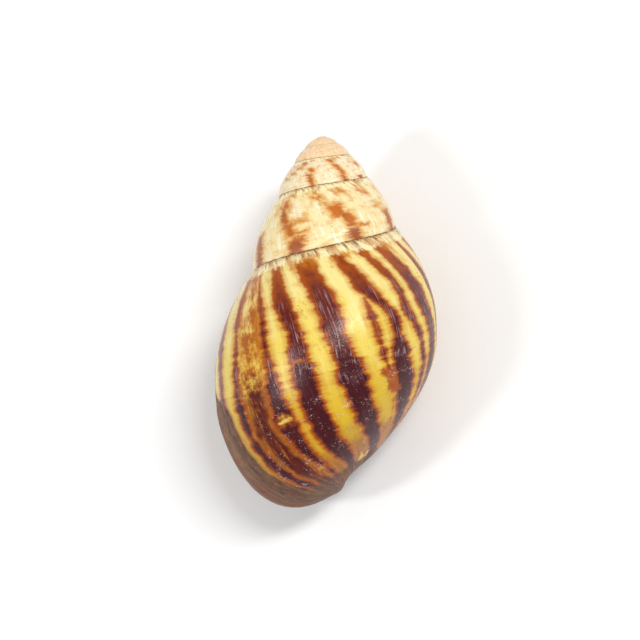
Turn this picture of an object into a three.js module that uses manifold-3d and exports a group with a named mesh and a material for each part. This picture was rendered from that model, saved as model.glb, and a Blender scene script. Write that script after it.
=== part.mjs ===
// The empty shell of a large striped land snail, lying mouth down as it does on a table.
// It is one grown piece: a right-handed tube that coils round a solid pillar, the columella,
// and gets wider with every turn. Sizes are in millimetres, with +Z up and the tip towards +Y.
//
// A point of the shell is worked out from three values:
//   turn    how far round the axis it is, in turns, 0 where the lip leaves the seam and
//           negative towards the tip, which is the way the shell grew
//   along   its place on the section through the wall, 0 at the seam, 1 at the girth where
//           the next turn would start, 2 where the base reaches the pillar
//   inset   its depth below the outer surface
import * as THREE from "three";
import { mergeVertices } from "three/addons/utils/BufferGeometryUtils.js";
import Module from "manifold-3d";

// The seam between two turns runs round the shell and down it, both by a steady ratio.
const SEAM_RADIUS = 26.0; // where it ends, at the lip
const SEAM_DEPTH = 46.25; // there, below the tip
const RADIUS_RATIO = 1.6055; // growth of the radius in one turn
const DEPTH_RATIO = 2.2266; // growth of the depth in one turn
const LATE_SLOWING = 0.204; // an adult widens this much less over its last turn
const EARLY_TURN = -3; // above it the turns shrink faster, to a blunt round tip
const EARLY_SHRINKING = 0.8;

// The shoulder, from the seam out to the girth.
const SHOULDER_SLOPE = 50; // most degrees below straight outwards, at the seam
const SHOULDER_LEAD = 18; // least degrees by which it is flatter than the wall as a whole
const SHOULDER_PULL = 0.573; // share of the seam-to-girth distance
const GIRTH_PULL_UP = 0.1;

// The base, from the girth in to the foot of the pillar.
const FOOT_RADIUS = 2.4;
const FOOT_DEPTH = 107.75; // at the lip
const FOOT_RISE = 41.5; // how much higher it is one turn back
const FOOT_RISE_POWER = 4;
const FOOT_DROP = 0.77; // deeper inside, its drop below the girth, by the girth's radius
const FOOT_ANGLE_NEW = 31.4; // degrees below straight outwards, where the base is round
const FOOT_ANGLE_OLD = -36.4; // where the base is a straight cone
const ROUND_UNTIL = 0.181; // turns behind the lip
const CONE_FROM = 0.5365;
const GIRTH_PULL_DOWN = 9.1;
const FOOT_PULL = 26.4;

// The lip, which leans back as it goes down: the angle it trails the seam by, in turns.
const LIP_TRAIL_GIRTH = 0.025;
const LIP_TRAIL_FOOT = 0.12;
const LIP_TRAIL_POWER = 1.6;

// Walls, and the tube's open length. The turns nearest the tip are filled, as an old shell's are.
const WALL = 1.5;
const LIP_WALL = 1;
const LIP_THINNING = 0.12; // turns over which the wall thins to the lip
const FIRST_TURN = -14 / 3;
const HOLLOW_FROM = -3;
const MOUTH_OVERRUN = 0.012; // the bore is cut this much past the lip, in turns

// The pillar: [depth, radius], from inside the tip to its foot, which is cut off aslant.
const PILLAR = [
  [0.1, 0.6],
  [12, 1.2],
  [40, 2.6],
  [62, 4.4],
  [74, 4.1],
  [88, 3.5],
  [105.7, 2.8],
];
const PILLAR_CUT = 1.4; // the foot's slant, up to this much deeper on the lip's side
const PILLAR_CUT_TURN = -0.16; // the turn that faces the lip's side
const PILLAR_SIDES = 18;
const AXIS_GAP = 0.4; // sections stop this far from the axis, inside the pillar
const SEAM_ROOT = 0.9; // a turn is rooted this deep in the one before it

// The tip leans a little to one side of the axis, as on many shells.
const LEAN_DEPTH = 60; // the lean starts this far down
const TIP_LEAN = -2.4;

// How it lies: turned about its own axis, then raised at the tip.
const ROLL = 13.519;
const TIP_RAISE = 9.352;

// Fineness of the facets.
const SHOULDER_STEPS = 6;
const BASE_STEPS = 10;
const STEPS_PER_TURN = 24;
const CHUNK_STEPS = 8; // the tube is joined from chunks of this many steps
const LIP_CHUNK_FROM = -8; // in steps; the last chunk runs from there to the leaning lip
const LIP_CHUNK_STEPS = 9;
const WELD = 0.02; // corners this close become one
const FACET_TOLERANCE = 0.05;

// The growth angle of the middle of the back, which faces up when ROLL is 0.
const BACK_TURN = -0.409;

const wasm = await Module();
wasm.setup();

const mix = (a, b, t) => a + (b - a) * t;
const radians = THREE.MathUtils.degToRad;
const degrees = THREE.MathUtils.radToDeg;

// Turns of growth that count towards the size: slower in the last turn, faster in the first.
const grown = (turn) =>
  turn -
  LATE_SLOWING * Math.max(turn, 0) ** 2 -
  EARLY_SHRINKING * Math.min(turn - EARLY_TURN, 0) ** 2;

const seam = (turn) =>
  new THREE.Vector2(
    SEAM_RADIUS * RADIUS_RATIO ** grown(turn),
    SEAM_DEPTH * DEPTH_RATIO ** grown(turn),
  );

// The girth of one turn is where the seam of the next one runs.
const girth = (turn) => seam(turn + 1);

function foot(turn) {
  const wide = girth(turn);
  const depth =
    turn < -1
      ? wide.y + FOOT_DROP * wide.x
      : FOOT_DEPTH - FOOT_RISE * (-turn) ** FOOT_RISE_POWER;
  const size = Math.min(1, wide.x / SEAM_RADIUS);
  return new THREE.Vector2(mix(AXIS_GAP, FOOT_RADIUS, size), depth);
}

const pointing = (angle, length) =>
  new THREE.Vector2(Math.cos(radians(angle)), Math.sin(radians(angle))).multiplyScalar(length);

// The section of the outer surface, as two curves of (radius, depth).
function sectionCurves(turn) {
  const top = seam(turn);
  const wide = girth(turn);
  const low = foot(turn);
  const reach = top.distanceTo(wide);
  const wholeSlope = degrees(Math.atan2(wide.y - top.y, wide.x - top.x));
  const slope = Math.min(SHOULDER_SLOPE, wholeSlope - SHOULDER_LEAD);
  const size = Math.min(1, wide.x / SEAM_RADIUS);
  const cone = THREE.MathUtils.smoothstep(-turn, ROUND_UNTIL, CONE_FROM);
  const shoulder = new THREE.CubicBezierCurve(
    top,
    pointing(slope, SHOULDER_PULL * reach).add(top),
    pointing(-90, GIRTH_PULL_UP * reach).add(wide),
    wide,
  );
  const base = new THREE.CubicBezierCurve(
    wide,
    pointing(90, GIRTH_PULL_DOWN * size).add(wide),
    pointing(mix(FOOT_ANGLE_NEW, FOOT_ANGLE_OLD, cone), FOOT_PULL * size).add(low),
    low,
  );
  return [shoulder, base];
}

function sectionPoint(turn, along, inset) {
  const [shoulder, base] = sectionCurves(turn);
  const curve = along < 1 ? shoulder : base;
  const t = along < 1 ? along : along - 1;
  const point = curve.getPoint(t);
  const way = curve.getTangent(t);
  return point.add(new THREE.Vector2(-way.y, way.x).multiplyScalar(inset));
}

function wall(turn) {
  const size = Math.min(1, girth(turn).x / SEAM_RADIUS);
  const thinning = THREE.MathUtils.smoothstep(turn, -LIP_THINNING, 0);
  return mix(WALL * size, LIP_WALL, thinning);
}

// From (radius, depth) at a turn to the shell lying down, before it is rolled and raised.
function place(section, turn) {
  const angle = 2 * Math.PI * (BACK_TURN - turn);
  const aboveLean = Math.min(section.y - LEAN_DEPTH, 0) / LEAN_DEPTH;
  return new THREE.Vector3(
    section.x * Math.sin(angle) + TIP_LEAN * aboveLean ** 2,
    -section.y,
    section.x * Math.cos(angle),
  );
}

function solidOf(vertProperties, triVerts) {
  return new wasm.Manifold(new wasm.Mesh({ numProp: 3, vertProperties, triVerts }));
}

function geometryOf(solid) {
  const mesh = solid.getMesh();
  return new THREE.BufferGeometry()
    .setAttribute("position", new THREE.BufferAttribute(mesh.vertProperties, 3))
    .setIndex(new THREE.BufferAttribute(mesh.triVerts, 1));
}

// A closed solid through rings of points. Each ring runs out along the surface and back along
// the axis with as many points, so its ends are strips between the two.
function loft(rings) {
  const size = rings[0].length;
  const half = size / 2;
  const triangles = [];
  const quad = (a, b, c, d) => triangles.push(a, c, b, a, d, c);
  for (let j = 0; j + 1 < rings.length; j++)
    for (let i = 0; i < size; i++) {
      const next = (i + 1) % size;
      quad(j * size + i, j * size + next, (j + 1) * size + next, (j + 1) * size + i);
    }
  const last = (rings.length - 1) * size;
  for (let i = 0; i + 1 < half; i++) {
    quad(size - 1 - i, size - 2 - i, i + 1, i);
    quad(last + size - 1 - i, last + i, last + i + 1, last + size - 2 - i);
  }
  const corners = rings.flat().flatMap((point) => point.toArray());
  return solidOf(new Float32Array(corners), new Uint32Array(triangles));
}

const ALONG = [
  ...Array.from({ length: SHOULDER_STEPS }, (_, i) => i / SHOULDER_STEPS),
  ...Array.from({ length: BASE_STEPS + 1 }, (_, i) => 1 + i / BASE_STEPS),
];

// One ring of the filled tube or, with an inset, of its bore. turnAt gives the turn at each
// place along the section.
function ring(turnAt, insetAt) {
  const surface = ALONG.map((along) => {
    const turn = turnAt(along);
    return { turn, section: sectionPoint(turn, along, insetAt(turn)) };
  });
  const { turn, section } = surface[0];
  const root = section.clone().sub(new THREE.Vector2(Math.min(SEAM_ROOT, section.x / 3), 0));
  surface.unshift({ turn, section: root });
  const top = surface[0].section.y;
  const low = surface.at(-1).section.y;
  const axis = surface.map((one, i) => ({
    turn: one.turn,
    section: new THREE.Vector2(AXIS_GAP, mix(top, low, i / (surface.length - 1))),
  }));
  return [...surface, ...axis.reverse()].map((one) => place(one.section, one.turn));
}

const lipTrail = (along) =>
  along < 1
    ? LIP_TRAIL_GIRTH * along
    : mix(LIP_TRAIL_GIRTH, LIP_TRAIL_FOOT, (along - 1) ** LIP_TRAIL_POWER);

// The tube in chunks of a part of a turn, the last of which ends at the leaning lip.
function tube(firstTurn, insetAt, overrun) {
  const chunks = [];
  for (let step = firstTurn * STEPS_PER_TURN; step < LIP_CHUNK_FROM; step += CHUNK_STEPS) {
    const rings = Array.from({ length: CHUNK_STEPS + 1 }, (_, j) =>
      ring(() => (step + j) / STEPS_PER_TURN, insetAt),
    );
    chunks.push({ step, solid: loft(rings) });
  }
  const from = LIP_CHUNK_FROM / STEPS_PER_TURN;
  const rings = Array.from({ length: LIP_CHUNK_STEPS + 1 }, (_, j) =>
    ring((along) => mix(from, overrun - lipTrail(along), j / LIP_CHUNK_STEPS), insetAt),
  );
  chunks.push({ step: LIP_CHUNK_FROM, solid: loft(rings) });
  return chunks;
}

function pillar() {
  const rings = PILLAR.map(([depth, radius], row) =>
    Array.from({ length: PILLAR_SIDES }, (_, i) => {
      const slant = row === PILLAR.length - 1 ? PILLAR_CUT : 0;
      const turn = -i / PILLAR_SIDES;
      const lower = slant * Math.cos(2 * Math.PI * (turn - PILLAR_CUT_TURN));
      return place(new THREE.Vector2(radius, depth + lower), turn);
    }),
  );
  return loft(rings);
}

// The largest body of a solid, without the slivers of space that facets leave between turns.
const largest = (solid) =>
  solid.decompose().reduce((best, one) => (one.volume() > best.volume() ? one : best));

function shell() {
  const filled = tube(FIRST_TURN, () => 0, 0);
  const bores = tube(HOLLOW_FROM, wall, MOUTH_OVERRUN);
  const core = pillar();
  const space = bores.map(({ step, solid }) => {
    // The turn before is the inner wall of this one's bore.
    const before = filled.filter((chunk) => chunk.step <= step + CHUNK_STEPS - STEPS_PER_TURN);
    const inner = wasm.Manifold.union([core, ...before.map((chunk) => chunk.solid)]);
    return largest(solid.subtract(inner));
  });
  const body = largest(wasm.Manifold.union([core, ...filled.map((chunk) => chunk.solid)]));
  const bore = largest(wasm.Manifold.union(space));
  return largest(body.subtract(bore));
}

// Lies it down, with the middle of its box over the origin.
function laidDown(solid) {
  const lying = solid.rotate([0, ROLL, 0]).rotate([TIP_RAISE, 0, 0]);
  const { min, max } = lying.boundingBox();
  return lying.translate([-(min[0] + max[0]) / 2, -(min[1] + max[1]) / 2, -min[2]]);
}

// Joins the corners that the cuts left closer together than can matter, and thins the facets.
function tidied(solid) {
  const welded = mergeVertices(geometryOf(solid).toNonIndexed(), WELD);
  const again = solidOf(welded.attributes.position.array, new Uint32Array(welded.index.array));
  return largest(again).simplify(FACET_TOLERANCE);
}

const horn = new THREE.MeshStandardMaterial({ color: 0x8a5a2a, roughness: 0.35, metalness: 0 });
const snailShell = new THREE.Mesh(geometryOf(tidied(laidDown(shell()))), horn);
snailShell.name = "shell";

const part = new THREE.Group();
part.add(snailShell);

export default part;
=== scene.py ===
# Striped shell of a large land snail, lying mouth down on a white table.
#
# The shell is a tube coiled round a pillar. It is grown by geometry nodes from a rule with three
# values, which the mesh also keeps as attributes for the colours:
#   turn    how far round the axis, in turns, 0 where the lip leaves the seam, negative to the tip
#   along   place on the section of the wall: 0 at the seam, 1 at the girth, 2 at the pillar
#   growth  the turn at which the lip stood there as the shell grew, since the lip leans back
# Lengths in the settings are in millimetres where the name ends in _mm.
import math

import bpy
from mathutils import Matrix, Vector


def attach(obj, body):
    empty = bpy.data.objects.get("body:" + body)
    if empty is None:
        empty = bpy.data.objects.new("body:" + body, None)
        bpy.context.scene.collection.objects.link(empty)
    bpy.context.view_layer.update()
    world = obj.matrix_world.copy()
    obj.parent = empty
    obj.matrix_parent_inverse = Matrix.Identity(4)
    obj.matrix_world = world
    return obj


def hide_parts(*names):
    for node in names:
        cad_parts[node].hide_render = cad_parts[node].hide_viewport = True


bl_info = {
    "name": "Land snail shell",
    "version": (1, 0, 0),
    "blender": (4, 5, 0),
    "location": "3D view > Sidebar > Shell",
    "description": "Grows the striped shell of a large land snail and lights it",
    "category": "Object",
}

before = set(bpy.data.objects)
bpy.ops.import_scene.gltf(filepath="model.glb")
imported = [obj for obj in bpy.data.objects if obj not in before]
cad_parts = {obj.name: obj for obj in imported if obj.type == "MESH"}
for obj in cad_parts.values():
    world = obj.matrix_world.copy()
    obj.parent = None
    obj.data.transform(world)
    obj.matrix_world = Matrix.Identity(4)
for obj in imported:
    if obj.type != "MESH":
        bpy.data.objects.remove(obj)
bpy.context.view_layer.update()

MM = 0.001

# Where each stripe of the last turn runs: its two edges at nine places along the section, in
# thousandths of a turn of growth behind the lip. Where they are swapped the stripe is broken.
STRIPE_PLACES = (0.1, 0.3, 0.5, 0.7, 0.9, 1.1, 1.3, 1.5, 1.7)
STRIPE_LEFT = [
    (506, 518, 522, 526, 530, 523, 512, 500, 495),
    (456, 470, 466, 477, 482, 481, 475, 468, 465),
    (411, 420, 437, 440, 449, 444, 446, 444, 442),
    (398, 398, 401, 401, 404, 402, 400, 400, 400),
    (352, 358, 355, 356, 366, 366, 363, 371, 387),
    (285, 291, 295, 297, 304, 298, 297, 299, 306),
    (238, 245, 243, 245, 247, 250, 251, 252, 256),
    (207, 190, 190, 184, 181, 180, 178, 190, 202),
    (148, 145, 143, 140, 139, 138, 136, 136, 140),
]
STRIPE_RIGHT = [
    (485, 487, 492, 501, 506, 497, 486, 478, 475),
    (444, 458, 453, 467, 475, 472, 466, 460, 459),
    (392, 394, 423, 419, 416, 411, 406, 413, 420),
    (402, 401, 394, 397, 398, 403, 406, 406, 406),
    (323, 325, 326, 330, 330, 328, 329, 335, 349),
    (271, 266, 276, 273, 269, 268, 266, 266, 283),
    (241, 236, 235, 235, 233, 223, 222, 233, 244),
    (197, 183, 182, 174, 171, 164, 161, 169, 183),
    (144, 131, 128, 128, 124, 120, 118, 118, 120),
]

# Where the dull last growth by the lip starts, drawn in the same way.
DULL_PLACES = (0.0, 0.3, 0.5, 0.7, 0.86, 1.1, 1.28, 1.5, 1.7, 1.8, 2.0)
DULL_EDGE = (0, 34, 56, 80, 106, 142, 146, 158, 178, 190, 260)

# The blotches of the two turns above it: growth and place of the middle, then half its size in
# growth and along, then how dark it is.
BLOTCHES = [
    (-1.486, 0.165, 0.014, 0.03, 0.1),
    (-1.371, 0.35, 0.019, 0.1, 0.1),
    (-1.388, 0.53, 0.013, 0.13, 0.3),
    (-1.405, 0.66, 0.022, 0.02, 0.1),
    (-1.386, 0.84, 0.016, 0.2, 0.9),
    (-1.25, 0.16, 0.012, 0.08, 0.2),
    (-1.238, 0.33, 0.011, 0.14, 0.6),
    (-1.248, 0.5, 0.013, 0.12, 0.4),
    (-1.272, 0.41, 0.022, 0.012, 0.2),
    (-1.265, 0.56, 0.022, 0.02, 0.2),
    (-1.262, 0.68, 0.018, 0.06, 0.4),
    (-1.254, 0.87, 0.016, 0.2, 0.9),
    (-1.143, 0.72, 0.016, 0.3, 1.0),
    (-1.515, 0.75, 0.016, 0.3, 0.8),
    (-1.5, 0.37, 0.018, 0.012, 0.1),
    (-1.342, 0.15, 0.016, 0.025, 0.0),
    (-1.42, 0.1, 0.008, 0.03, 0.0),
    (-2.42, 0.04, 0.01, 0.05, 0.1),
    (-2.4, 0.15, 0.012, 0.06, 0.1),
    (-2.402, 0.45, 0.011, 0.2, 0.1),
    (-2.398, 0.82, 0.012, 0.2, 0.6),
    (-2.295, 0.36, 0.011, 0.07, 0.0),
    (-2.278, 0.72, 0.011, 0.28, 0.4),
    (-2.28, 0.12, 0.012, 0.03, 0.2),
    (-2.245, 0.22, 0.014, 0.035, 0.2),
    (-2.205, 0.33, 0.014, 0.035, 0.3),
    (-2.165, 0.44, 0.014, 0.04, 0.3),
    (-2.52, 0.32, 0.012, 0.08, 0.2),
    (-2.48, 0.88, 0.014, 0.12, 0.6),
]

# Yellow and orange patches on the stripes of the last turn, in the same way, but with how orange.
ISLANDS = [
    (-0.236, 1.275, 0.009, 0.008, 0.0),
    (-0.285, 0.73, 0.006, 0.01, 0.7),
    (-0.333, 1.76, 0.018, 0.03, 0.1),
    (-0.24, 1.66, 0.008, 0.02, 0.5),
    (-0.4, 1.15, 0.01, 0.05, 1.0),
    (-0.402, 1.25, 0.01, 0.05, 1.0),
]

PATCH_FLATNESS = 0.2  # turns that count as much as a whole section at the edge of a patch
PATCH_BEND_GROWTH = 0.025
PATCH_BEND_ALONG = 0.16

# The noises in the wall: how often each repeats in a turn and in a section, its seed, its detail
# and roughness, and how far it is bent.
GRAINS = {
    "teeth": (12, 15, 0, 3.4, 0.64, 0),
    "slow": (30, 5, 4, 3, 0.6, 0),
    "lines": (420, 5, 1, 3, 0.7, 0),
    "streaks": (110, 2.5, 7, 4, 0.65, 0),
    "patches": (36, 9, 6, 3, 0.6, 0),
    "wobble": (5, 1.2, 9, 2, 0.5, 0),
    "growth_bend": (40, 9, 31, 3, 0.5, 0),
    "along_bend": (60, 7, 32, 3, 0.5, 0),
    "strokes": (14, 12, 12, 6, 0.85, 0),
    "specks": (60, 7, 2, 5, 0.7, 0),
    "scuffs": (200, 16, 3, 5, 0.75, 0),
    "grit": (150, 44, 3, 4, 0.7, 0),
    "chips": (190, 56, 15, 3, 0.5, 1.5),
    "curls": (52, 16, 21, 2, 0.5, 1),
    "marks": (34, 14, 41, 3, 0.5, 1.2),
    "beads": (120, 10, 5, 3, 0.6, 0),
}
CENTRED_GRAINS = ("teeth", "slow", "strokes")  # from -0.25 to 0.25, the others from 0.25 to 0.75

# Where the parts of the pattern lie, in turns or in growth. Each starts and ends with a ramp.
SPIRE = (-1.0, -1.03)
CAP = (-2.85, -3.05)
DRAWN_LAST_TURN = (-0.55, -0.54, -0.118, -0.112)
DRAWN_SPIRE = [(-1.66, -1.64, -1.14, -1.12), (-2.66, -2.64, -2.14, -2.12)]
MOTTLE_OLDER_EDGE = (-0.24, -0.23)
MOTTLE_NEWER_EDGE = (-0.186, -0.196)
MOUTH_TURN = (-0.96, -0.99)
MOUTH_ALONG = (1.0, 1.06)

# The stripes and blotches of the sides that aren't drawn, which come in an even rhythm. Half
# widths are shares of that rhythm, and the next numbers turn such shares into turns.
STRIPES_A_TURN = 15.5
STRIPE_WOBBLE = 1.6
OTHER_STRIPE_HALF = 0.2
OTHER_STRIPE_TURNS = 0.06
OTHER_BLOTCH_HALF = 0.15
OTHER_BLOTCH_TURNS = 0.09

SHELL_IOR = 1.5
SHELL_SPECULAR = 0.3
POLISHED_ROUGHNESS = 0.26
BUMP_STRENGTH = 0.5
BUMP_DISTANCE = 0.0004

# How far the lip leans back from the seam as the shell grows, in turns: a quick lean from the
# seam to the girth, then a slow one to the foot that quickens at the end.
LEAN_TO_GIRTH = 0.083
LEAN_REACH = 0.33
LEAN_BELOW = 0.06
LEAN_AT_FOOT = 0.074

# The finer shape of the coil.
RING_CROWDING = 1.5  # more than 1 puts the sections closer together towards the lip
TRAIL_CURVE = 1.6  # more than 1 keeps most of the trail below the girth for the foot
TRAIL_FADE = 3.0  # one over the turns behind the lip in which its trail fades
LIP_ROUNDING = 0.004  # turns behind the lip over which its edge is rounded
LIP_BLUNTNESS = 0.8  # share of the lip's thickness that the rounding takes away
EVEN_BY_LIP = 0.05  # turns behind the lip over which the relief fades
PINCH_ALONG = (1.86, 1.93, 1.94, 2.0)
PINCH_TURN = (-0.9, -0.75, -0.55, -0.4)

# The relief of the outer surface: how often it repeats, and how fast the beads fade off the seam.
BEADS_A_TURN = 70.0
BEADS_ALONG = 3.0
BEAD_FADE = 16.0
RIDGES_A_TURN = 46.0
RIDGES_ALONG = 0.8
SWELLS_A_TURN = 7.0
SWELLS_ALONG = 1.6
UNDERSIDE_TURN = -0.865  # where the coil touches the table, which is kept even
UNDERSIDE_EVEN = (0.03, 0.1)

# The pillar: its depth and radius in millimetres, then the slant cut at its foot.
PILLAR = [
    (0.1, 0.9),
    (12, 1.2),
    (40, 2.6),
    (62, 4.4),
    (74, 4.1),
    (88, 3.5),
    (105.7, 2.2),
]
PILLAR_WIDEST_MM = 10.0
PILLAR_CUT_MM = 1.4
PILLAR_CUT_TURN = -0.16
PILLAR_CUT_FROM = 0.85
PILLAR_TURN = -6.0  # it takes the colours of the tip where it closes the tip
PILLAR_SIDES = 48
PILLAR_RINGS = 70

LIGHT_TARGET = (0.0, 0.0, 0.03)
KEY_PLACE = (0.4, 0.16, 0.76)
KEY_SIZE = (0.12, 0.34)
FILL_PLACE = (-0.45, -0.19, 0.75)
FILL_SIZE = (0.09, 0.2)
WHITE = (1.0, 1.0, 1.0, 1.0)
TABLE_HALF_WIDTH = 3.0
TABLE_ROUGHNESS = 0.9
NEAREST_SEEN = 0.01


def colour(rgb):
    """The colour of 0 to 255 values as the numbers that nodes and lights take."""
    values = [c / 255 for c in rgb]
    linear = [v / 12.92 if v <= 0.04045 else ((v + 0.055) / 1.055) ** 2.4 for v in values]
    return (*linear, 1.0)


class Value:
    """A number or vector in a node tree, which can be used in ordinary sums."""

    def __init__(self, tree, socket, vector=False):
        self.tree = tree
        self.socket = socket
        self.vector = vector

    def _with(self, other, number_operation, vector_operation, swapped=False):
        pair = (other, self) if swapped else (self, other)
        either_is_vector = self.vector or getattr(other, "vector", False)
        if not either_is_vector:
            return self.tree.math(number_operation, *pair)
        if vector_operation != "MULTIPLY":
            return self.tree.vector_math(vector_operation, *pair)
        vector = self if self.vector else other
        number = other if self.vector else self
        return self.tree.vector_math("SCALE", vector, scale=number)

    def __add__(self, other):
        return self._with(other, "ADD", "ADD")

    def __radd__(self, other):
        return self._with(other, "ADD", "ADD", swapped=True)

    def __sub__(self, other):
        return self._with(other, "SUBTRACT", "SUBTRACT")

    def __rsub__(self, other):
        return self._with(other, "SUBTRACT", "SUBTRACT", swapped=True)

    def __mul__(self, other):
        return self._with(other, "MULTIPLY", "MULTIPLY")

    def __rmul__(self, other):
        return self._with(other, "MULTIPLY", "MULTIPLY", swapped=True)

    def __truediv__(self, other):
        return self.tree.math("DIVIDE", self, other)

    def __rtruediv__(self, other):
        return self.tree.math("DIVIDE", other, self)

    def __pow__(self, other):
        return self.tree.math("POWER", self, other)

    def __rpow__(self, other):
        return self.tree.math("POWER", other, self)

    def __neg__(self):
        return self * -1

    def __abs__(self):
        return self.tree.math("ABSOLUTE", self)

    def __gt__(self, other):
        return self.tree.math("GREATER_THAN", self, other)

    def __lt__(self, other):
        return self.tree.math("LESS_THAN", self, other)

    def ramp(self, low, high, smooth=True):
        """0 up to low, 1 from high on and a ramp between them. low may be the larger one."""
        inputs = {"Value": self, "From Min": low, "From Max": high}
        kind = "SMOOTHSTEP" if smooth else "LINEAR"
        node = self.tree.node("ShaderNodeMapRange", inputs, interpolation_type=kind)
        return Value(self.tree, node.outputs["Result"])

    def window(self, start, full, last, end):
        """1 from full to last, with a ramp up from start and one down to end."""
        return self.ramp(start, full) * self.ramp(end, last)


class Tree:
    """Writes the nodes of a node tree."""

    def __init__(self, node_tree):
        self.nodes = node_tree.nodes
        self.links = node_tree.links

    def node(self, kind, inputs=None, **settings):
        """A new node of that kind, with its settings, and its inputs by name or number."""
        node = self.nodes.new(kind)
        for name, setting in settings.items():
            setattr(node, name, setting)
        for key, value in (inputs or {}).items():
            self.put(node.inputs[key], value)
        return node

    def put(self, socket, value):
        if isinstance(value, Value):
            self.links.new(value.socket, socket)
        elif isinstance(value, bpy.types.NodeSocket):
            self.links.new(value, socket)
        else:
            socket.default_value = value

    def math(self, operation, *operands):
        node = self.node("ShaderNodeMath", dict(enumerate(operands)), operation=operation)
        return Value(self, node.outputs[0])

    def vector_math(self, operation, *operands, scale=None):
        node = self.node("ShaderNodeVectorMath", dict(enumerate(operands)), operation=operation)
        if scale is not None:
            self.put(node.inputs["Scale"], scale)
        if operation in ("LENGTH", "DOT_PRODUCT", "DISTANCE"):
            return Value(self, node.outputs["Value"])
        return Value(self, node.outputs["Vector"], vector=True)

    def vector(self, x, y, z):
        node = self.node("ShaderNodeCombineXYZ", {0: x, 1: y, 2: z})
        return Value(self, node.outputs[0], vector=True)

    def parts(self, vector):
        """The x, y and z of a vector."""
        node = self.node("ShaderNodeSeparateXYZ", {0: vector})
        return [Value(self, output) for output in node.outputs]

    def lowest(self, *values):
        result = values[0]
        for value in values[1:]:
            result = self.math("MINIMUM", result, value)
        return result

    def highest(self, *values):
        result = values[0]
        for value in values[1:]:
            result = self.math("MAXIMUM", result, value)
        return result

    def blend(self, share, first, second):
        """A mix of two numbers."""
        return first + (second - first) * share

    def curve(self, value, points):
        """A line through (input, output) points, both from 0 to 1."""
        node = self.node("ShaderNodeFloatCurve", {"Value": value})
        line = node.mapping.curves[0]
        for place, height in points[1:-1]:
            line.points.new(place, height)
        for point, (place, height) in zip(line.points, points):
            point.location = (place, height)
            point.handle_type = "VECTOR"
        node.mapping.update()
        return Value(self, node.outputs["Value"])

    def noise(self, vector, detail=2.0, roughness=0.5, distortion=0.0):
        """Smooth noise, mostly from 0.25 to 0.75."""
        inputs = {
            "Vector": vector,
            "Scale": 1.0,
            "Detail": detail,
            "Roughness": roughness,
            "Distortion": distortion,
        }
        return Value(self, self.node("ShaderNodeTexNoise", inputs).outputs[0])

    def colours(self, share, first, second):
        """A mix of two colours, each a colour socket or a colour setting."""
        node = self.node("ShaderNodeMix", data_type="RGBA", clamp_factor=True)
        self.put(node.inputs["Factor"], share)
        self.put(node.inputs[6], first)
        self.put(node.inputs[7], second)
        return Value(self, node.outputs[2], vector=True)


def length(name, default, description):
    """A setting in millimetres."""
    return bpy.props.FloatProperty(name=name, default=default, description=description)


def number(name, default, description):
    """A setting with no unit."""
    return bpy.props.FloatProperty(name=name, default=default, description=description)


def angle(name, degrees, description):
    """A setting that is given in degrees."""
    return bpy.props.FloatProperty(
        name=name, default=math.radians(degrees), subtype="ANGLE", description=description
    )


def tint(name, rgb, description):
    """A colour setting that is given as red, green and blue from 0 to 255."""
    return bpy.props.FloatVectorProperty(
        name=name,
        default=colour(rgb),
        size=4,
        min=0.0,
        max=1.0,
        subtype="COLOR",
        description=description,
    )


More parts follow.
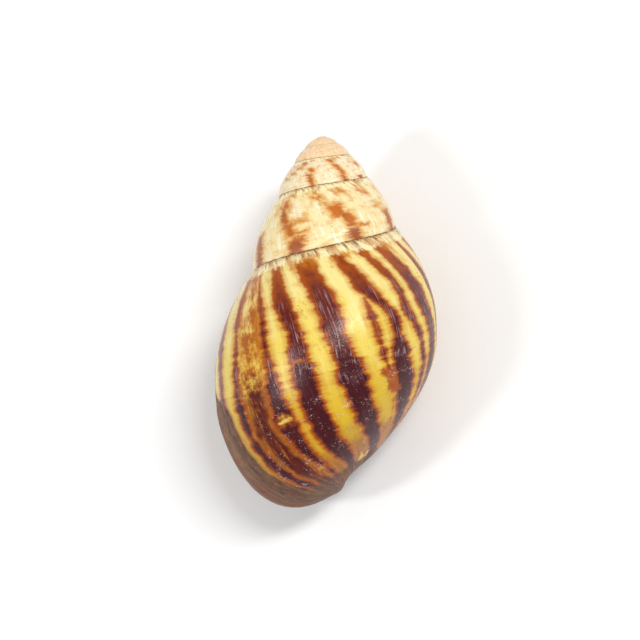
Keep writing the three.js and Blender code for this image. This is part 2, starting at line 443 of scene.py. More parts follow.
class ShellSettings(bpy.types.PropertyGroup):
    """The rule that the shell grows by."""

    seam_radius_mm: length("Seam radius", 26.0, "Radius of the seam where it ends, at the lip")
    seam_depth_mm: length("Seam depth", 46.25, "Depth of that place below the tip")
    radius_ratio: number("Radius ratio", 1.6055, "Growth of the radius in one turn")
    depth_ratio: number("Depth ratio", 2.2266, "Growth of the depth in one turn")
    late_slowing: number("Late slowing", 0.204, "How much less the last turn widens")
    early_turn: number("Early turn", -3.0, "Above it the turns shrink faster towards the tip")
    early_shrinking: number("Early shrinking", 0.8, "How much faster")
    shoulder_slope: angle("Shoulder slope", 50.0, "Most below straight outwards, at the seam")
    shoulder_lead: angle("Shoulder lead", 18.0, "Least by which it is flatter than the wall")
    shoulder_pull: number("Shoulder pull", 0.573, "Share of the seam-to-girth distance")
    girth_pull_up: number("Girth pull up", 0.1, "Share of the seam-to-girth distance")
    foot_radius_mm: length("Foot radius", 2.4, "Where the base meets the pillar")
    foot_depth_mm: length("Foot depth", 107.75, "Depth of the base at the lip")
    foot_rise_mm: length("Foot rise", 41.5, "How much higher the base is one turn back")
    foot_drop: number("Foot drop", 0.77, "Drop of the inner turns, by the girth's radius")
    foot_angle_new: angle("New foot angle", 31.4, "Of the base, where it is round")
    foot_angle_old: angle("Old foot angle", -36.4, "Of the base, where it is a cone")
    round_until: number("Round until", 0.181, "Turns behind the lip")
    cone_from: number("Cone from", 0.5365, "Turns behind the lip")
    girth_pull_down_mm: length("Girth pull down", 9.1, "Roundness below the girth")
    foot_pull_mm: length("Foot pull", 26.4, "Roundness at the foot")
    lip_trail_girth: number("Lip trail at the girth", 0.025, "Turns behind the seam")
    lip_trail_foot: number("Lip trail at the foot", 0.12, "Turns behind the seam")
    wall_mm: length("Wall", 1.5, "Thickness of the wall")
    lip_wall_mm: length("Lip wall", 1.0, "Thickness at the lip")
    lip_thinning: number("Lip thinning", 0.12, "Turns over which the wall thins")
    turns: number("Turns", 6.2, "Turns of the coil")
    back_turn: number("Back turn", -0.409, "The turn in the middle of the back")
    tip_lean_mm: length("Tip lean", -2.4, "How far the tip leans to one side")
    lean_depth_mm: length("Lean depth", 60.0, "Where the lean starts")
    roll: angle("Roll", 13.519, "Turn about its own axis as it lies")
    tip_raise: angle("Tip raise", 9.352, "Raise of the tip as it lies")
    rest_x_mm: length("Rest X", 3.112, "Place of the tip on the table")
    rest_y_mm: length("Rest Y", 55.259, "Place of the tip on the table")
    rest_z_mm: length("Rest Z", 35.76, "Height of the tip's place before it is raised")
    seam_frill_mm: length("Seam frill", 0.42, "Height of the beads along the seam")
    ridge_mm: length("Ridge", 0.16, "Height of the growth ridges")
    swell_mm: length("Swell", 0.35, "Height of the slow unevenness")
    foot_pinch_mm: length("Foot pinch", 1.3, "Depth of the hollow beside the foot")
    rings: bpy.props.IntProperty(name="Rings", default=880, description="Sections of the coil")
    section_points: bpy.props.IntProperty(
        name="Section points", default=52, description="Points on each section"
    )


class ShellColours(bpy.types.PropertyGroup):
    """The colours of the shell."""

    gold: tint("Gold", (238, 212, 96), "Ground of the last turn")
    deep_gold: tint("Deep gold", (222, 184, 44), "Ground below the girth")
    dark_gold: tint("Dark gold", (164, 100, 16), "Ground near the foot")
    pale_gold: tint("Pale gold", (246, 228, 150), "Ground near the seam")
    cream_yellow: tint("Cream yellow", (248, 230, 172), "Ground of the turn above")
    cream: tint("Cream", (250, 232, 190), "Ground of the upper turns")
    # Cream highlight: painted white highlight streaks on the upper turns and the tip.
    cream_highlight: tint("Cream white", (255, 248, 226), "Pale streaks of the upper turns")
    peach: tint("Peach", (250, 212, 164), "The tip")
    amber: tint("Amber", (220, 152, 52), "Haze and stains of the upper turns")
    seam_white: tint("Seam white", (254, 240, 186), "The beaded band under a seam")
    seam_brown: tint("Seam brown", (138, 72, 24), "The line of a seam and small marks")
    stripe: tint("Stripe", (66, 9, 20), "The stripes below the girth")
    stripe_warm: tint("Warm stripe", (98, 22, 8), "The stripes near the seam")
    # Stripe sheen: painted greyish-pink highlight streaks on the dark of the stripes.
    stripe_sheen: tint("Grey stripe", (112, 58, 62), "Pale streaks of the stripes")
    # Sheen grey: a painted reflection of the bright surroundings, streaked along the growth lines
    # on the upper part of the stripes.
    sheen_grey: tint("Sheen grey", (190, 160, 160), "Painted reflection on the growth lines of the stripes")
    margin: tint("Margin", (166, 76, 8), "The edges of the stripes")
    mottle: tint("Mottle", (196, 118, 14), "Specks between the stripes")
    spire_blotch: tint("Blotch", (198, 98, 8), "The blotches of the upper turns")
    spire_dark: tint("Dark blotch", (152, 70, 42), "The darkest blotches")
    matte_brown: tint("Dull brown", (120, 86, 62), "The dull growth by the lip")
    matte_dark: tint("Dull dark", (66, 38, 30), "Dark streaks of the dull growth")
    matte_pale: tint("Dull pale", (190, 150, 108), "Flecks of the dull growth")
    pit_white: tint("Pit white", (214, 196, 190), "Chips and scratches")
    enamel: tint("Enamel", (238, 236, 232), "The inside of the shell")


class StageSettings(bpy.types.PropertyGroup):
    """The camera, the light and the table."""

    table_colour: tint("Table", (255, 255, 255), "The table")
    camera_x_mm: length("Camera X", -4.55, "Across the shell, from its axis")
    camera_y_mm: length("Camera Y", -55.1, "Along the shell, from its tip")
    camera_distance_mm: length("Camera distance", 643.6, "From the shell's axis")
    camera_turn: angle("Camera turn", 1.306, "Turn of the picture")
    view_angle: angle("View angle", 16.97, "Width of the picture")
    key_strength: number("Key strength", 3.7, "Power of the main light in watts")
    fill_strength: number("Fill strength", 1.8, "Power of the fill light in watts")
    sky_strength: number("Sky strength", 0.5, "Brightness of the white surroundings")


def lag_of(tree, along):
    """How far the lip trailed the seam as the shell grew, in turns."""
    upper = tree.lowest(along, 1.0)
    lower = tree.highest(along - 1.0, 0.0)
    sweep = 1.0 - tree.math("EXPONENT", upper * (-1 / LEAN_REACH))
    return sweep * LEAN_TO_GIRTH + lower * LEAN_BELOW + lower ** 4 * LEAN_AT_FOOT


def bezier(corners, t):
    """A point on the curve, and the way it runs there."""
    a, b, c, d = corners
    s = 1.0 - t
    point = a * (s * s * s) + b * (s * s * t * 3.0) + c * (s * t * t * 3.0) + d * (t * t * t)
    way = (b - a) * (s * s) + (c - b) * (s * t * 2.0) + (d - c) * (t * t)
    return point, way


def seam_of(tree, s, turn):
    """Radius and depth of the seam, in millimetres."""
    over = tree.highest(turn, 0.0)
    early = tree.lowest(turn - s.early_turn, 0.0)
    grown = turn - over * over * s.late_slowing - early * early * s.early_shrinking
    radius = s.radius_ratio ** grown * s.seam_radius_mm
    depth = s.depth_ratio ** grown * s.seam_depth_mm
    return tree.vector(radius, depth, 0.0)


def heading(tree, angle_down):
    """The unit way at this angle below straight outwards."""
    return tree.vector(tree.math("COSINE", angle_down), tree.math("SINE", angle_down), 0.0)


def wall_section(tree, s, turn, along):
    """A point of the outer surface as (radius, depth), and the unit way into the wall."""
    top = seam_of(tree, s, turn)
    wide = seam_of(tree, s, turn + 1.0)
    wide_radius, wide_depth, _ = tree.parts(wide)
    size = tree.lowest(wide_radius / s.seam_radius_mm, 1.0)
    back = -turn
    late_foot = s.foot_depth_mm - back ** 4 * s.foot_rise_mm
    early_foot = wide_depth + wide_radius * s.foot_drop
    foot_depth = tree.blend(turn < -1.0, late_foot, early_foot)
    low = tree.vector(tree.blend(size, 0.4, s.foot_radius_mm), foot_depth, 0.0)
    reach = tree.vector_math("LENGTH", wide - top)
    chord_radius, chord_depth, _ = tree.parts(wide - top)
    chord = tree.math("ARCTAN2", chord_depth, chord_radius)
    slope = tree.lowest(s.shoulder_slope, chord - s.shoulder_lead)
    shoulder, shoulder_way = bezier(
        (
            top,
            top + heading(tree, slope) * (reach * s.shoulder_pull),
            wide - tree.vector(0.0, 1.0, 0.0) * (reach * s.girth_pull_up),
            wide,
        ),
        tree.lowest(along, 1.0),
    )
    cone = back.ramp(s.round_until, s.cone_from)
    foot_angle = tree.blend(cone, s.foot_angle_new, s.foot_angle_old)
    pull = heading(tree, foot_angle)
    base, base_way = bezier(
        (
            wide,
            wide + tree.vector(0.0, 1.0, 0.0) * (size * s.girth_pull_down_mm),
            low + pull * (size * s.foot_pull_mm),
            low,
        ),
        tree.highest(along - 1.0, 0.0),
    )
    on_base = along > 1.0
    point = shoulder + (base - shoulder) * on_base
    way_radius, way_depth, _ = tree.parts(shoulder_way + (base_way - shoulder_way) * on_base)
    inward = tree.vector_math("NORMALIZE", tree.vector(-way_depth, way_radius, 0.0))
    return point, inward, size


def lying(tree, s, section, turn):
    """From (radius, depth) at a turn to the place of the lying shell, in metres."""
    radius, depth, _ = tree.parts(section)
    angle_round = (s.back_turn - turn) * (2 * math.pi)
    above_lean = tree.lowest(depth - s.lean_depth_mm, 0.0) / s.lean_depth_mm
    upright = tree.vector(
        radius * tree.math("SINE", angle_round) + above_lean * above_lean * s.tip_lean_mm,
        -depth,
        radius * tree.math("COSINE", angle_round),
    )
    turned = upright
    for axis, amount in (("Y_AXIS", s.roll), ("X_AXIS", s.tip_raise)):
        inputs = {"Vector": turned, "Angle": amount}
        node = tree.node("ShaderNodeVectorRotate", inputs, rotation_type=axis)
        turned = Value(tree, node.outputs[0], vector=True)
    return (turned + tree.vector(s.rest_x_mm, s.rest_y_mm, s.rest_z_mm)) * MM


def relief(tree, s, turn, along, growth):
    """How far the outer surface stands out from the plain rule, in millimetres."""
    size = turn.ramp(-3.5, 0.0, smooth=False)
    beads_at = tree.vector(growth * BEADS_A_TURN, along * BEADS_ALONG, 0.0)
    beads = tree.noise(beads_at, detail=1.0) - 0.35
    near_seam = tree.math("EXPONENT", along * -BEAD_FADE)
    frill = beads * near_seam * (2.6 * s.seam_frill_mm)
    ridges_at = tree.vector(growth * RIDGES_A_TURN, along * RIDGES_ALONG, 3.0)
    ridges = (tree.noise(ridges_at, detail=3.0, roughness=0.6) - 0.5) * (2.0 * s.ridge_mm)
    swell_at = tree.vector(growth * SWELLS_A_TURN, along * SWELLS_ALONG, 8.0)
    swell = (tree.noise(swell_at, detail=1.0) - 0.5) * (2.0 * s.swell_mm)
    off_seam = along.ramp(0.0, 0.25)
    off_foot = along.ramp(2.0, 1.6)
    off_table = abs(turn - UNDERSIDE_TURN).ramp(*UNDERSIDE_EVEN)
    return (frill + (ridges + swell * off_seam) * off_foot * off_table) * size


def placed_mesh(tree, mesh, values, place):
    """The mesh moved to its place, which keeps the values for the colours at its points."""
    for name, value in values.items():
        inputs = {"Geometry": mesh, "Name": name, "Value": value}
        kind = "GeometryNodeStoreNamedAttribute"
        mesh = tree.node(kind, inputs, data_type="FLOAT", domain="POINT").outputs["Geometry"]
    inputs = {"Geometry": mesh, "Position": place}
    return tree.node("GeometryNodeSetPosition", inputs).outputs["Geometry"]


def point_of(tree):
    """The x, y and z of each point of the mesh as it was made."""
    position = tree.node("GeometryNodeInputPosition").outputs[0]
    return tree.parts(Value(tree, position, vector=True))


def coil(tree, s):
    """The walls of the coiled tube: a closed box that is bent into the coil."""
    box = tree.node(
        "GeometryNodeMeshCube",
        {
            "Size": (1.0, 1.0, 1.0),
            "Vertices X": s.rings,
            "Vertices Y": s.section_points,
            "Vertices Z": 2,
        },
    )
    lengthwise, across, height = point_of(tree)
    before_lip = 0.5 - lengthwise
    along = (across + 0.5) * 2.0
    inside = 0.5 - height
    even_turn = -(tree.highest(before_lip, 0.0) ** RING_CROWDING * s.turns)
    upper = tree.lowest(along, 1.0)
    lower = tree.highest(along - 1.0, 0.0) ** TRAIL_CURVE
    trail = upper * s.lip_trail_girth + lower * (s.lip_trail_foot - s.lip_trail_girth)
    turn = even_turn - trail * tree.highest(even_turn * TRAIL_FADE + 1.0, 0.0)
    growth = turn + lag_of(tree, along)
    point, inward, size = wall_section(tree, s, turn, along)
    thinning = turn.ramp(-s.lip_thinning, 0.0)
    wall = tree.blend(thinning, size * s.wall_mm, s.lip_wall_mm)
    rounding = even_turn.ramp(-LIP_ROUNDING, 0.0, smooth=False)
    squeeze = (1.0 - tree.math("SQRT", 1.0 - rounding * rounding)) * LIP_BLUNTNESS
    depth_in = tree.blend(squeeze, inside, 0.5)
    out = relief(tree, s, turn, along, growth) * (1.0 - inside)
    out = out * even_turn.ramp(0.0, -EVEN_BY_LIP)
    pinched = along.window(*PINCH_ALONG) * turn.window(*PINCH_TURN)
    inset = depth_in * wall - out + pinched * s.foot_pinch_mm
    values = {"turn": turn, "along": along, "growth": growth, "inside": inside}
    place = lying(tree, s, point + inward * inset, turn)
    return placed_mesh(tree, box.outputs["Mesh"], values, place)


def pillar(tree, s):
    """The columella, from inside the tip to its cut-off foot."""
    tube = tree.node(
        "GeometryNodeMeshCylinder",
        {
            "Vertices": PILLAR_SIDES,
            "Side Segments": PILLAR_RINGS,
            "Fill Segments": 4,
            "Radius": 1.0,
            "Depth": 1.0,
        },
    )
    x, y, z = point_of(tree)
    first = PILLAR[0][0]
    height = PILLAR[-1][0] - first
    down = 0.5 - z
    line = [((depth - first) / height, radius / PILLAR_WIDEST_MM) for depth, radius in PILLAR]
    reach = tree.math("SQRT", x * x + y * y)
    radius = tree.curve(down, line) * PILLAR_WIDEST_MM * reach
    turn = tree.math("ARCTAN2", y, x) / (2 * math.pi)
    slant = tree.math("COSINE", (turn - PILLAR_CUT_TURN) * (2 * math.pi))
    cut = slant * down.ramp(PILLAR_CUT_FROM, 1.0) * PILLAR_CUT_MM * reach
    depth = down * height + first + cut
    values = {
        "turn": PILLAR_TURN,
        "along": down.ramp(0.02, 0.05) * 2.0,
        "growth": PILLAR_TURN,
        "inside": down.ramp(0.1, 0.2),
    }
    place = lying(tree, s, tree.vector(radius, depth, 0.0), turn)
    return placed_mesh(tree, tube.outputs["Mesh"], values, place)


class NodeInputs:
    """The settings of a property group as the inputs of a node group."""

    def __init__(self, tree, node_group, settings):
        source = tree.nodes.new("NodeGroupInput")
        for name in settings.bl_rna.properties.keys():
            if name in ("rna_type", "name"):
                continue
            setting = settings.bl_rna.properties[name]
            whole = setting.type == "INT"
            kind = "NodeSocketInt" if whole else "NodeSocketFloat"
            socket = node_group.interface.new_socket(name, in_out="INPUT", socket_type=kind)
            socket.default_value = getattr(settings, name)
            setattr(self, name, Value(tree, source.outputs[socket.identifier]))


def shell_group(settings, material):
    """The geometry nodes that grow the shell."""
    group = bpy.data.node_groups.new("Grow shell", "GeometryNodeTree")
    tree = Tree(group)
    inputs = NodeInputs(tree, group, settings)
    group.interface.new_socket("Geometry", in_out="OUTPUT", socket_type="NodeSocketGeometry")
    both = tree.node("GeometryNodeJoinGeometry")
    tree.put(both.inputs[0], pillar(tree, inputs))
    tree.put(both.inputs[0], coil(tree, inputs))
    smooth = tree.node("GeometryNodeSetShadeSmooth", {"Geometry": both.outputs[0]})
    real = tree.node("GeometryNodeRealizeInstances", {"Geometry": smooth.outputs[0]})
    painted = tree.node("GeometryNodeSetMaterial", {"Geometry": real.outputs[0]})
    painted.inputs["Material"].default_value = material
    output = tree.nodes.new("NodeGroupOutput")
    tree.put(output.inputs[0], painted.outputs[0])
    return group


def grown_mesh(name, group, settings):
    """The mesh that a geometry nodes group makes with these settings."""
    holder = bpy.data.objects.new(name, bpy.data.meshes.new(name))
    bpy.context.scene.collection.objects.link(holder)
    modifier = holder.modifiers.new("Grow", "NODES")
    modifier.node_group = group
    for item in group.interface.items_tree:
        if item.in_out == "INPUT":
            modifier[item.identifier] = getattr(settings, item.name)
    graph = bpy.context.evaluated_depsgraph_get()
    mesh = bpy.data.meshes.new_from_object(holder.evaluated_get(graph))
    holder.modifiers.clear()
    holder.data = mesh
    mesh.name = name
    return holder


def attribute(tree, name):
    """A value that the mesh keeps at every point."""
    node = tree.node("ShaderNodeAttribute", attribute_name=name)
    return Value(tree, node.outputs["Fac"])


def edge_line(wall, places, edges):
    """Growth along a line that is drawn in thousandths of a turn behind the lip."""
    line = [(place / 2, 1 - edge / 1000) for place, edge in zip(places, edges)]
    line = [(0.0, line[0][1]), *line, (1.0, line[-1][1])]
    return wall.tree.curve(wall.along / 2, line) - 1.0


def stripe_distance(wall):
    """How far outside the nearest drawn stripe a point is, in turns."""
    distances = []
    for left_edge, right_edge in zip(STRIPE_LEFT, STRIPE_RIGHT):
        left = edge_line(wall, STRIPE_PLACES, left_edge)
        right = edge_line(wall, STRIPE_PLACES, right_edge)
        distances.append(wall.tree.highest(left - wall.growth, wall.growth - right))
    return wall.tree.lowest(*distances)


def patch_distance(wall, patches):
    """How far outside the nearest patch a point is, in turns, and how dark that one is."""
    tree = wall.tree
    bent_growth = wall.growth + (wall.growth_bend - 0.5) * PATCH_BEND_GROWTH
    bent_along = wall.along + (wall.along_bend - 0.5) * PATCH_BEND_ALONG
    place = tree.vector(bent_growth, bent_along * PATCH_FLATNESS, 0.0)
    nearest = None
    darkness = None
    for middle, height, half_growth, half_along, dark in patches:
        centre = (middle, height * PATCH_FLATNESS, 0.0)
        half = (half_growth, half_along * PATCH_FLATNESS, 0.0)
        apart = tree.vector_math("ABSOLUTE", tree.vector_math("SUBTRACT", place, centre))
        beyond = tree.vector_math("SUBTRACT", apart, half)
        beyond_growth, beyond_along, _ = tree.parts(beyond)
        distance = tree.highest(beyond_growth, beyond_along)
        if nearest is None:
            nearest = distance
            darkness = dark
            continue
        darkness = tree.blend(distance < nearest, darkness, dark)
        nearest = tree.lowest(nearest, distance)
    return nearest, darkness


class Wall:
    """A point of the wall, with the noises and parts that its colours are made from."""

    def __init__(self, tree, paint):
        self.tree = tree
        self.paint = paint
        self.turn = attribute(tree, "turn")
        self.along = attribute(tree, "along")
        self.growth = attribute(tree, "growth")
        self.inside = attribute(tree, "inside")
        for name, (across, down, seed, detail, roughness, bend) in GRAINS.items():
            place = tree.vector(self.growth * across, self.along * down, seed)
            grain = tree.noise(place, detail=detail, roughness=roughness, distortion=bend)
            setattr(self, name, grain)
        for name in CENTRED_GRAINS:
            setattr(self, name, getattr(self, name) - 0.5)
        self.spire = self.turn.ramp(*SPIRE)
        self.last_turn = 1.0 - self.spire
        self.cap = self.turn.ramp(*CAP)
        self.capless = 1.0 - self.cap
        self.drawn = self.growth.window(*DRAWN_LAST_TURN)
        rhythm = self.growth * STRIPES_A_TURN + self.wobble * STRIPE_WOBBLE
        self.wave = abs(tree.math("FRACT", rhythm) - 0.5)


class Coat:
    """A colour that is laid on in layers."""

    def __init__(self, tree, ground):
        self.tree = tree
        self.colour = ground

    def lay(self, share, colour):
        """Lays a colour over that share of what is below it."""
        self.colour = self.tree.colours(share, self.colour, colour)


def lay_ground(wall):
    """The ground, golden on the last turn, cream above it and peach at the tip."""
    paint = wall.paint
    coat = Coat(wall.tree, paint.gold)
    coat.lay((wall.along + wall.slow).ramp(0.6, 0.1), paint.pale_gold)
    coat.lay(wall.streaks.ramp(0.5, 0.72) * 0.5, paint.pale_gold)
    low = wall.along + wall.patches * 0.5
    coat.lay(low.ramp(1.0, 1.6), paint.deep_gold)
    coat.lay(low.ramp(1.65, 1.95), paint.dark_gold)
    coat.lay(wall.turn.ramp(-0.85, -1.15), paint.cream_yellow)
    coat.lay(wall.turn.ramp(-1.7, -2.3), paint.cream)
    coat.lay(wall.patches.ramp(0.46, 0.72) * wall.spire * 0.55, paint.amber)
    # Painted highlight: white streaks on the upper turns.
    coat.lay(wall.streaks.ramp(0.5, 0.64) * wall.spire * 0.75, paint.cream_highlight)
    coat.lay(wall.turn.ramp(-2.8, -3.1), paint.peach)
    # Painted highlight: white streaks on the tip.
    coat.lay(wall.cap * wall.streaks.ramp(0.48, 0.62) * 0.6, paint.cream_highlight)
    coat.lay(wall.cap * wall.patches.ramp(0.5, 0.68) * 0.6, paint.amber)
    coat.lay(wall.lines.ramp(0.5, 0.75) * 0.35, paint.amber)
    coat.lay(wall.streaks.ramp(0.44, 0.28) * 0.5, paint.amber)
    stained = wall.patches.ramp(0.5, 0.7) * wall.along.ramp(0.5, 0.15) * wall.capless
    coat.lay(stained * 0.55, paint.amber)
    return coat


def lay_mottle(wall, coat):
    """The mottled part between two stripes, which turns dark below the girth."""
    paint = wall.paint
    fingers = wall.slow * 0.7 + (wall.streaks - 0.5) * 1.6 + (wall.specks - 0.5) * 0.5
    low = (wall.along + fingers).ramp(0.66, 1.22)
    newer_side = (wall.growth + low * -0.012).ramp(*MOTTLE_NEWER_EDGE)
    mottled = wall.growth.ramp(*MOTTLE_OLDER_EDGE) * newer_side * wall.drawn * wall.last_turn
    coat.lay(mottled * wall.specks.ramp(0.32, 0.58) * 0.9, paint.mottle)
    coat.lay(mottled * wall.specks.ramp(0.47, 0.6) * 0.75, paint.margin)
    coat.lay(mottled * low * 0.8, paint.margin)
    coat.lay(mottled * low * wall.streaks.ramp(0.64, 0.5), paint.stripe_warm)
    coat.lay(mottled * low * wall.specks.ramp(0.42, 0.6) * 0.8, paint.stripe)


def lay_stripes(wall, coat):
    """The stripes, amber then orange brown then almost black from their edges inwards."""
    paint = wall.paint
    others = (wall.wave - OTHER_STRIPE_HALF) * OTHER_STRIPE_TURNS
    stripes = wall.tree.blend(wall.drawn, others, stripe_distance(wall))
    stripes = stripes + wall.teeth * 0.021 + wall.slow * 0.014
    edge = stripes / (0.7 + wall.patches * 0.7)
    coat.lay(edge.ramp(0.013, 0.002) * wall.last_turn * 0.6, paint.mottle)
    coat.lay(edge.ramp(0.005, -0.0005) * wall.last_turn, paint.margin)
    dark = Coat(wall.tree, paint.stripe)
    dark.lay((wall.along + wall.slow * 0.6).ramp(0.95, 0.35), paint.stripe_warm)
    # Painted highlight: greyish-pink streaks of sheen over the dark of the stripes.
    dark.lay(wall.streaks.ramp(0.5, 0.72) * 0.45, paint.stripe_sheen)
    dark.lay(wall.streaks.ramp(0.48, 0.3) * 0.6, paint.stripe_warm)
    shoulder = (wall.along + wall.slow).window(0.15, 0.4, 0.8, 1.1)
    # Painted reflection: pinkish-grey streaks of sheen along the growth lines on the shoulder of
    # the stripes, below the seam.
    sheen = (wall.lines + wall.patches * 0.3).ramp(0.66, 0.84) * shoulder
    dark.lay(sheen * 0.7, paint.sheen_grey)
    below_seam = (wall.along + wall.slow * 0.5 + wall.teeth * 0.4).ramp(0.05, 0.34)
    core = edge.ramp(0.0005, -0.0055) * below_seam
    coat.lay(core * wall.last_turn, dark.colour)


def lay_islands(wall, coat):
    """The yellow and orange patches on the stripes, with a brown rim."""
    paint = wall.paint
    islands, redness = patch_distance(wall, ISLANDS)
    islands = islands + wall.teeth * 0.02 + wall.strokes * 0.012
    coat.lay(islands.ramp(0.006, -0.001) * wall.last_turn * 0.8, paint.margin)
    tone = wall.tree.colours(redness, paint.gold, paint.margin)
    coat.lay(islands.ramp(0.001, -0.005) * wall.last_turn * 0.9, tone)


def lay_blotches(wall, coat):
    """The blotches of the turns above the last, in an amber haze."""
    paint = wall.paint
    tree = wall.tree
    drawn = tree.highest(*[wall.turn.window(*part) for part in DRAWN_SPIRE])
    blotches, darkness = patch_distance(wall, BLOTCHES)
    others = (wall.wave - OTHER_BLOTCH_HALF + wall.slow * 0.4) * OTHER_BLOTCH_TURNS
    blotches = tree.blend(drawn, others, blotches) + wall.strokes * 0.05
    darkness = tree.blend(drawn, 0.5, darkness)
    tone = tree.colours(darkness + wall.slow, paint.spire_blotch, paint.spire_dark)
    part = wall.spire * wall.capless
    coat.lay(blotches.ramp(0.016, -0.002) * part * 0.7, paint.amber)
    coat.lay(blotches.ramp(0.004, -0.01) * part * 0.9, tone)


def lay_dull(wall, coat):
    """The dull film on the last growth by the lip and at the foot. Gives where it lies."""
    paint = wall.paint
    past_edge = wall.growth - edge_line(wall, DULL_PLACES, DULL_EDGE)
    rim = (past_edge + wall.teeth * 0.02).ramp(-0.01, -0.001) * wall.last_turn
    coat.lay(rim * wall.along.ramp(0.5, 0.8) * 0.45, paint.margin)
    by_lip = (past_edge + wall.teeth * 0.012 + wall.slow * 0.012).ramp(-0.003, 0.004)
    by_foot = (wall.along + wall.slow * 0.12).ramp(1.74, 1.8) * 0.85
    dull = wall.tree.highest(by_lip, by_foot) * wall.last_turn
    film = Coat(wall.tree, paint.matte_dark)
    film.lay(wall.scuffs.ramp(0.36, 0.6), paint.matte_brown)
    film.lay(wall.grit.ramp(0.44, 0.3) * 0.8, paint.matte_dark)
    film.lay(wall.streaks.ramp(0.46, 0.32) * 0.75, paint.stripe_warm)
    film.lay(wall.streaks.ramp(0.52, 0.7) * 0.4, paint.matte_pale)
    film.lay(wall.grit.ramp(0.58, 0.72) * wall.patches.ramp(0.35, 0.6), paint.matte_pale)
    thin_by_lip = (wall.growth + wall.slow * 0.04).ramp(-0.125, -0.085) * 0.3
    thickness = 0.95 - wall.patches.ramp(0.5, 0.75) * 0.25 - thin_by_lip
    coat.lay(dull * thickness, film.colour)
    return dull


def lay_wear(wall, coat, dull):
    """Brown marks, and white chips and scratches where the dark layer is gone."""
    paint = wall.paint
    mark = abs(wall.marks - 0.5).ramp(0.012, 0.003)
    mark = mark * (wall.slow + wall.chips * 0.4).ramp(0.22, 0.34)
    coat.lay(mark * 0.7 * wall.capless, paint.seam_brown)
    chip = (wall.chips + (wall.patches - 0.5) * 0.3).ramp(0.65, 0.72)
    scratch = abs(wall.curls - 0.5).ramp(0.014, 0.004)
    scratch = scratch * (wall.patches + wall.chips * 0.5).ramp(0.8, 0.9)
    low = (wall.along + wall.slow * 2.0).ramp(0.5, 1.1)
    part = low * wall.last_turn * dull.ramp(0.6, 0.1)
    coat.lay(wall.tree.highest(chip * 0.8, scratch) * part * 0.75, paint.pit_white)


def lay_seam(wall, coat):
    """The beaded band under each seam and the line of the seam. Gives where the band lies."""
    paint = wall.paint
    bead = wall.beads - 0.5
    band = (wall.along + (bead * 0.05 + wall.teeth * 0.09)).ramp(0.072, 0.056) * wall.capless
    coat.lay(band * 0.85, paint.seam_white)
    rust = (wall.patches + wall.beads * 0.3).ramp(0.64, 0.8) * wall.along.ramp(0.16, 0.06)
    coat.lay(rust * wall.capless * 0.7, paint.mottle)
    near = (wall.along + wall.patches * 0.04).ramp(0.08, 0.045)
    ticks = wall.beads.ramp(0.53, 0.62) * near * wall.capless
    coat.lay(ticks * 0.75, paint.seam_brown)
    line = (wall.along + bead * 0.045).ramp(0.013, 0.003) * (0.3 + wall.capless * 0.6)
    coat.lay(line * wall.patches.ramp(0.3, 0.5), paint.seam_brown)
    return band


def shell_material(paint):
    """Striped and glossy outside, white enamel inside."""
    material = bpy.data.materials.new("Snail shell")
    material.use_nodes = True
    material.node_tree.nodes.clear()
    tree = Tree(material.node_tree)
    wall = Wall(tree, paint)
    coat = lay_ground(wall)
    lay_mottle(wall, coat)
    lay_stripes(wall, coat)
    lay_islands(wall, coat)
    lay_blotches(wall, coat)
    dull = lay_dull(wall, coat)
    lay_wear(wall, coat, dull)
    band = lay_seam(wall, coat)
    in_mouth = wall.turn.ramp(*MOUTH_TURN) * wall.along.ramp(*MOUTH_ALONG)
    coat.lay(tree.highest(wall.inside.ramp(0.5, 0.95), in_mouth), paint.enamel)
    unpolished = dull * 0.3 + (wall.patches - 0.5) * 0.2 + (wall.lines - 0.5) * 0.12
    growth_lines = wall.lines * 0.3 + wall.streaks * 0.6
    rough_parts = wall.grit * dull * 0.5 + wall.beads * band * 0.4
    pits = wall.chips * wall.last_turn * 0.2
    bump = tree.node(
        "ShaderNodeBump",
        {
            "Strength": BUMP_STRENGTH,
            "Distance": BUMP_DISTANCE,
            "Height": growth_lines + rough_parts + pits,
        },
    )
    surface = tree.node(
        "ShaderNodeBsdfPrincipled",
        {
            "Base Color": coat.colour,
            "Roughness": POLISHED_ROUGHNESS + unpolished,
            "IOR": SHELL_IOR,
            "Specular IOR Level": SHELL_SPECULAR,
            "Normal": bump.outputs["Normal"],
        },
    )
    output = tree.node("ShaderNodeOutputMaterial")
    tree.put(output.inputs["Surface"], surface.outputs["BSDF"])
    return material


class SHELL_OT_grow(bpy.types.Operator):
    """Grow the shell and paint it"""

    bl_idname = "snail.grow_shell"
    bl_label = "Grow shell"

    def execute(self, context):
        settings = context.scene.snail_shell
        material = shell_material(context.scene.snail_colours)
        shell = grown_mesh("snail_shell", shell_group(settings, material), settings)
        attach(shell, "root")
        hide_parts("shell")
        return {"FINISHED"}


def resting(settings):
    """From the upright shell's own frame to the table, in metres."""
    place = Vector((settings.rest_x_mm, settings.rest_y_mm, settings.rest_z_mm)) * MM
    turn = Matrix.Rotation(settings.tip_raise, 4, "X") @ Matrix.Rotation(settings.roll, 4, "Y")
    return Matrix.Translation(place) @ turn


def area_light(name, place, size, power):
    """A white light from a rectangle that faces the shell."""
    light = bpy.data.lights.new(name, "AREA")
    light.shape = "RECTANGLE"
    light.size, light.size_y = size
    light.energy = power
    holder = bpy.data.objects.new(name, light)
    holder.location = place
    aim = Vector(LIGHT_TARGET) - Vector(place)
    holder.rotation_euler = aim.to_track_quat("-Z", "Y").to_euler()
    bpy.context.scene.collection.objects.link(holder)


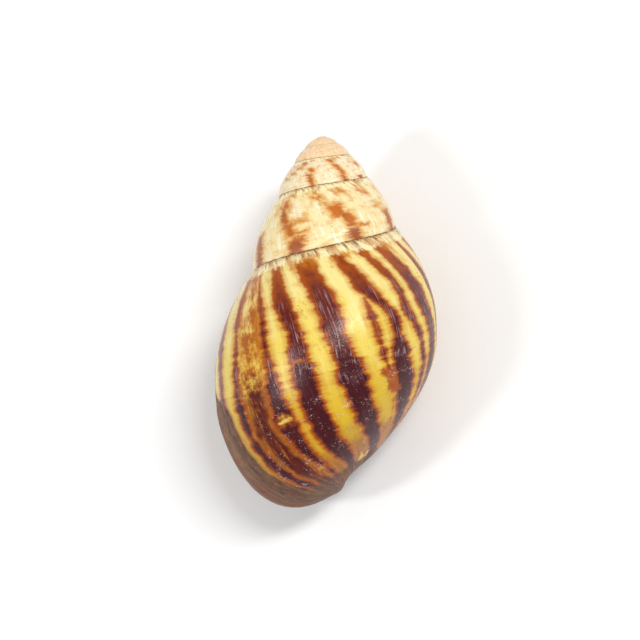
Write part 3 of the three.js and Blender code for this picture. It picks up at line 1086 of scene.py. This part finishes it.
class SHELL_OT_stage(bpy.types.Operator):
    """Set the table, the light and the camera"""

    bl_idname = "snail.set_stage"
    bl_label = "Set stage"

    def execute(self, context):
        scene = context.scene
        stage = scene.snail_stage
        self.table(stage)
        self.lights(scene, stage)
        self.camera(scene, stage, resting(scene.snail_shell))
        scene.view_settings.view_transform = "Standard"
        scene.view_settings.look = "None"
        return {"FINISHED"}

    def table(self, stage):
        mesh = bpy.data.meshes.new("Table")
        half = TABLE_HALF_WIDTH
        corners = [(-half, -half, 0), (half, -half, 0), (half, half, 0), (-half, half, 0)]
        mesh.from_pydata(corners, [], [(0, 1, 2, 3)])
        material = bpy.data.materials.new("Table")
        material.use_nodes = True
        surface = material.node_tree.nodes["Principled BSDF"]
        surface.inputs["Base Color"].default_value = stage.table_colour
        surface.inputs["Roughness"].default_value = TABLE_ROUGHNESS
        mesh.materials.append(material)
        table = bpy.data.objects.new("Table", mesh)
        bpy.context.scene.collection.objects.link(table)

    def lights(self, scene, stage):
        area_light("Key", KEY_PLACE, KEY_SIZE, stage.key_strength)
        area_light("Fill", FILL_PLACE, FILL_SIZE, stage.fill_strength)
        world = bpy.data.worlds.new("White surroundings")
        world.use_nodes = True
        background = world.node_tree.nodes["Background"]
        background.inputs["Color"].default_value = WHITE
        background.inputs["Strength"].default_value = stage.sky_strength
        scene.world = world

    def camera(self, scene, stage, rest):
        data = bpy.data.cameras.new("Camera")
        data.sensor_fit = "HORIZONTAL"
        data.angle = stage.view_angle
        data.clip_start = NEAREST_SEEN
        camera = bpy.data.objects.new("Camera", data)
        place = Vector((stage.camera_x_mm, stage.camera_y_mm, stage.camera_distance_mm)) * MM
        turned = Matrix.Rotation(-stage.camera_turn, 4, "Z")
        camera.matrix_world = rest @ Matrix.Translation(place) @ turned
        scene.collection.objects.link(camera)
        scene.camera = camera


class SHELL_PT_panel(bpy.types.Panel):
    """The settings and steps of the snail shell"""

    bl_idname = "SHELL_PT_panel"
    bl_label = "Land snail shell"
    bl_space_type = "VIEW_3D"
    bl_region_type = "UI"
    bl_category = "Shell"

    def draw(self, context):
        scene = context.scene
        for settings in (scene.snail_shell, scene.snail_colours, scene.snail_stage):
            column = self.layout.column(align=True)
            for name in settings.__annotations__:
                column.prop(settings, name)
        for operator in (SHELL_OT_grow, SHELL_OT_stage):
            self.layout.operator(operator.bl_idname)


CLASSES = (
    ShellSettings,
    ShellColours,
    StageSettings,
    SHELL_OT_grow,
    SHELL_OT_stage,
    SHELL_PT_panel,
)


def register():
    for one in CLASSES:
        bpy.utils.register_class(one)
    bpy.types.Scene.snail_shell = bpy.props.PointerProperty(type=ShellSettings)
    bpy.types.Scene.snail_colours = bpy.props.PointerProperty(type=ShellColours)
    bpy.types.Scene.snail_stage = bpy.props.PointerProperty(type=StageSettings)


def unregister():
    del bpy.types.Scene.snail_stage
    del bpy.types.Scene.snail_colours
    del bpy.types.Scene.snail_shell
    for one in reversed(CLASSES):
        bpy.utils.unregister_class(one)


def main():
    register()
    bpy.ops.snail.grow_shell()
    bpy.ops.snail.set_stage()


if __name__ == "__main__":
    main()
